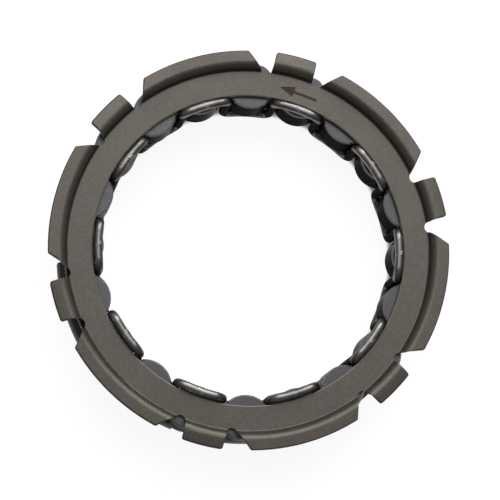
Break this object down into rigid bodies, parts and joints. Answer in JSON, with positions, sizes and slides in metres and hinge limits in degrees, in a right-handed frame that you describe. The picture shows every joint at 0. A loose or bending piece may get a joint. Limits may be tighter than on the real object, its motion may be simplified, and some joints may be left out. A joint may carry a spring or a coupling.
{
  "type": "one-way starter clutch",
  "caption": "Ring-shaped one-way clutch: wedging sprags between a tabbed flange plate and a lugged rear plate, spaced by a zigzag spring wire, open in the middle.",
  "frame": {"origin": "on the clutch axis, in the plane of the rear lugs' ends", "axes": "+Z along the clutch axis towards the flange face with the arrow; +X through the middle of one short flange tab"},
  "size_m": [0.0762, 0.0758, 0.0158],
  "materials": {
    "plate_steel": "pressed sheet steel, dark warm grey, satin",
    "wire_steel": "drawn spring wire, bright",
    "spring_steel": "fine coiled spring wire",
    "sprag_steel": "hardened steel, ground ends, dark flanks"
  },
  "bodies": {
    "cage": {"rear_plate": "plate_steel", "front_plate": "plate_steel", "separator_wire": "wire_steel", "garter_spring": "spring_steel"},
    "sprag_01": {"sprag_01": "sprag_steel"},
    "sprag_02": {"sprag_02": "sprag_steel"},
    "sprag_03": {"sprag_03": "sprag_steel"},
    "sprag_04": {"sprag_04": "sprag_steel"},
    "sprag_05": {"sprag_05": "sprag_steel"},
    "sprag_06": {"sprag_06": "sprag_steel"},
    "sprag_07": {"sprag_07": "sprag_steel"},
    "sprag_08": {"sprag_08": "sprag_steel"},
    "sprag_09": {"sprag_09": "sprag_steel"},
    "sprag_10": {"sprag_10": "sprag_steel"},
    "sprag_11": {"sprag_11": "sprag_steel"},
    "sprag_12": {"sprag_12": "sprag_steel"},
    "sprag_13": {"sprag_13": "sprag_steel"},
    "sprag_14": {"sprag_14": "sprag_steel"},
    "sprag_15": {"sprag_15": "sprag_steel"},
    "sprag_16": {"sprag_16": "sprag_steel"},
    "sprag_17": {"sprag_17": "sprag_steel"},
    "sprag_18": {"sprag_18": "sprag_steel"},
    "sprag_19": {"sprag_19": "sprag_steel"},
    "sprag_20": {"sprag_20": "sprag_steel"}
  },
  "joints": [
    {"name": "sprag_01_rock", "type": "hinge", "parent": "cage", "child": "sprag_01", "pos_m": [0.03154, 0.00044, 0.00865], "axis": [0, 0, 1], "range_deg": [-14, 3], "stiffness_Nm_per_rad": 0.02},
    {"name": "sprag_02_rock", "type": "hinge", "parent": "cage", "child": "sprag_02", "pos_m": [0.02986, 0.01017, 0.00865], "axis": [0, 0, 1], "range_deg": [-14, 3], "stiffness_Nm_per_rad": 0.02},
    {"name": "sprag_03_rock", "type": "hinge", "parent": "cage", "child": "sprag_03", "pos_m": [0.02526, 0.0189, 0.00865], "axis": [0, 0, 1], "range_deg": [-14, 3], "stiffness_Nm_per_rad": 0.02},
    {"name": "sprag_04_rock", "type": "hinge", "parent": "cage", "child": "sprag_04", "pos_m": [0.01818, 0.02578, 0.00865], "axis": [0, 0, 1], "range_deg": [-14, 3], "stiffness_Nm_per_rad": 0.02},
    {"name": "sprag_05_rock", "type": "hinge", "parent": "cage", "child": "sprag_05", "pos_m": [0.00933, 0.03013, 0.00865], "axis": [0, 0, 1], "range_deg": [-14, 3], "stiffness_Nm_per_rad": 0.02},
    {"name": "sprag_06_rock", "type": "hinge", "parent": "cage", "child": "sprag_06", "pos_m": [-0.00044, 0.03154, 0.00865], "axis": [0, 0, 1], "range_deg": [-14, 3], "stiffness_Nm_per_rad": 0.02},
    {"name": "sprag_07_rock", "type": "hinge", "parent": "cage", "child": "sprag_07", "pos_m": [-0.01017, 0.02986, 0.00865], "axis": [0, 0, 1], "range_deg": [-14, 3], "stiffness_Nm_per_rad": 0.02},
    {"name": "sprag_08_rock", "type": "hinge", "parent": "cage", "child": "sprag_08", "pos_m": [-0.0189, 0.02526, 0.00865], "axis": [0, 0, 1], "range_deg": [-14, 3], "stiffness_Nm_per_rad": 0.02},
    {"name": "sprag_09_rock", "type": "hinge", "parent": "cage", "child": "sprag_09", "pos_m": [-0.02578, 0.01818, 0.00865], "axis": [0, 0, 1], "range_deg": [-14, 3], "stiffness_Nm_per_rad": 0.02},
    {"name": "sprag_10_rock", "type": "hinge", "parent": "cage", "child": "sprag_10", "pos_m": [-0.03013, 0.00933, 0.00865], "axis": [0, 0, 1], "range_deg": [-14, 3], "stiffness_Nm_per_rad": 0.02},
    {"name": "sprag_11_rock", "type": "hinge", "parent": "cage", "child": "sprag_11", "pos_m": [-0.03154, -0.00044, 0.00865], "axis": [0, 0, 1], "range_deg": [-14, 3], "stiffness_Nm_per_rad": 0.02},
    {"name": "sprag_12_rock", "type": "hinge", "parent": "cage", "child": "sprag_12", "pos_m": [-0.02986, -0.01017, 0.00865], "axis": [0, 0, 1], "range_deg": [-14, 3], "stiffness_Nm_per_rad": 0.02},
    {"name": "sprag_13_rock", "type": "hinge", "parent": "cage", "child": "sprag_13", "pos_m": [-0.02526, -0.0189, 0.00865], "axis": [0, 0, 1], "range_deg": [-14, 3], "stiffness_Nm_per_rad": 0.02},
    {"name": "sprag_14_rock", "type": "hinge", "parent": "cage", "child": "sprag_14", "pos_m": [-0.01818, -0.02578, 0.00865], "axis": [0, 0, 1], "range_deg": [-14, 3], "stiffness_Nm_per_rad": 0.02},
    {"name": "sprag_15_rock", "type": "hinge", "parent": "cage", "child": "sprag_15", "pos_m": [-0.00933, -0.03013, 0.00865], "axis": [0, 0, 1], "range_deg": [-14, 3], "stiffness_Nm_per_rad": 0.02},
    {"name": "sprag_16_rock", "type": "hinge", "parent": "cage", "child": "sprag_16", "pos_m": [0.00044, -0.03154, 0.00865], "axis": [0, 0, 1], "range_deg": [-14, 3], "stiffness_Nm_per_rad": 0.02},
    {"name": "sprag_17_rock", "type": "hinge", "parent": "cage", "child": "sprag_17", "pos_m": [0.01017, -0.02986, 0.00865], "axis": [0, 0, 1], "range_deg": [-14, 3], "stiffness_Nm_per_rad": 0.02},
    {"name": "sprag_18_rock", "type": "hinge", "parent": "cage", "child": "sprag_18", "pos_m": [0.0189, -0.02526, 0.00865], "axis": [0, 0, 1], "range_deg": [-14, 3], "stiffness_Nm_per_rad": 0.02},
    {"name": "sprag_19_rock", "type": "hinge", "parent": "cage", "child": "sprag_19", "pos_m": [0.02578, -0.01818, 0.00865], "axis": [0, 0, 1], "range_deg": [-14, 3], "stiffness_Nm_per_rad": 0.02},
    {"name": "sprag_20_rock", "type": "hinge", "parent": "cage", "child": "sprag_20", "pos_m": [0.03013, -0.00933, 0.00865], "axis": [0, 0, 1], "range_deg": [-14, 3], "stiffness_Nm_per_rad": 0.02}
  ],
  "couplings": [
    {"joint": "sprag_02_rock", "follows": "sprag_01_rock", "ratio": 1},
    {"joint": "sprag_03_rock", "follows": "sprag_01_rock", "ratio": 1},
    {"joint": "sprag_04_rock", "follows": "sprag_01_rock", "ratio": 1},
    {"joint": "sprag_05_rock", "follows": "sprag_01_rock", "ratio": 1},
    {"joint": "sprag_06_rock", "follows": "sprag_01_rock", "ratio": 1},
    {"joint": "sprag_07_rock", "follows": "sprag_01_rock", "ratio": 1},
    {"joint": "sprag_08_rock", "follows": "sprag_01_rock", "ratio": 1},
    {"joint": "sprag_09_rock", "follows": "sprag_01_rock", "ratio": 1},
    {"joint": "sprag_10_rock", "follows": "sprag_01_rock", "ratio": 1},
    {"joint": "sprag_11_rock", "follows": "sprag_01_rock", "ratio": 1},
    {"joint": "sprag_12_rock", "follows": "sprag_01_rock", "ratio": 1},
    {"joint": "sprag_13_rock", "follows": "sprag_01_rock", "ratio": 1},
    {"joint": "sprag_14_rock", "follows": "sprag_01_rock", "ratio": 1},
    {"joint": "sprag_15_rock", "follows": "sprag_01_rock", "ratio": 1},
    {"joint": "sprag_16_rock", "follows": "sprag_01_rock", "ratio": 1},
    {"joint": "sprag_17_rock", "follows": "sprag_01_rock", "ratio": 1},
    {"joint": "sprag_18_rock", "follows": "sprag_01_rock", "ratio": 1},
    {"joint": "sprag_19_rock", "follows": "sprag_01_rock", "ratio": 1},
    {"joint": "sprag_20_rock", "follows": "sprag_01_rock", "ratio": 1}
  ]
}
